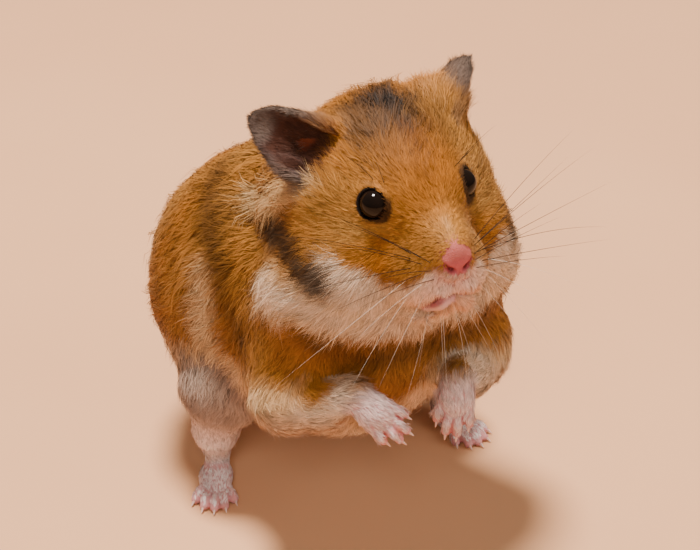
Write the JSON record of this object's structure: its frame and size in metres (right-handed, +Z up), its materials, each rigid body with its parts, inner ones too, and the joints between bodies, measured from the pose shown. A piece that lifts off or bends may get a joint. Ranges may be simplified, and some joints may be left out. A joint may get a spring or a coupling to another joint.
{
  "type": "syrian hamster",
  "caption": "Life-size golden Syrian hamster model, reared on its hind feet with both forepaws held in front of its chest.",
  "frame": {"origin": "on the floor under the middle of the animal's box, between its hind feet", "axes": "+Z up; the animal faces -Y; its left side is +X"},
  "size_m": [0.0764, 0.1, 0.1093],
  "materials": {
    "coat": "soft golden-orange fur, dark at the roots of some locks",
    "pale_coat": "soft cream-white fur",
    "ear_skin": "thin slate-grey skin with fine short hair",
    "paw_skin": "pink skin under short white hair",
    "nose": "moist pink skin",
    "eye": "wet black, mirror-smooth",
    "claw": "translucent ivory horn"
  },
  "bodies": {
    "root": {"eye_left": "eye", "eye_right": "eye", "nose": "nose", "ear_left": "ear_skin", "ear_right": "ear_skin", "claw_forepaw_left_1": "claw", "claw_forepaw_left_2": "claw", "claw_forepaw_left_3": "claw", "claw_forepaw_left_4": "claw", "forepaw_left": "paw_skin", "claw_forepaw_right_1": "claw", "claw_forepaw_right_2": "claw", "claw_forepaw_right_3": "claw", "claw_forepaw_right_4": "claw", "forepaw_right": "paw_skin", "claw_hind_foot_left_1": "claw", "claw_hind_foot_left_2": "claw", "claw_hind_foot_left_3": "claw", "claw_hind_foot_left_4": "claw", "claw_hind_foot_left_5": "claw", "hind_foot_left": "paw_skin", "claw_hind_foot_right_1": "claw", "claw_hind_foot_right_2": "claw", "claw_hind_foot_right_3": "claw", "claw_hind_foot_right_4": "claw", "claw_hind_foot_right_5": "claw", "hind_foot_right": "paw_skin", "head": "coat", "neck": "pale_coat", "trunk": "coat", "forearm_left": "pale_coat", "forearm_right": "pale_coat", "upper_arm_left": "coat", "upper_arm_right": "coat", "shank_left": "pale_coat", "shank_right": "pale_coat", "thigh_left": "pale_coat", "thigh_right": "pale_coat", "tail": "paw_skin"}
  },
  "joints": []
}
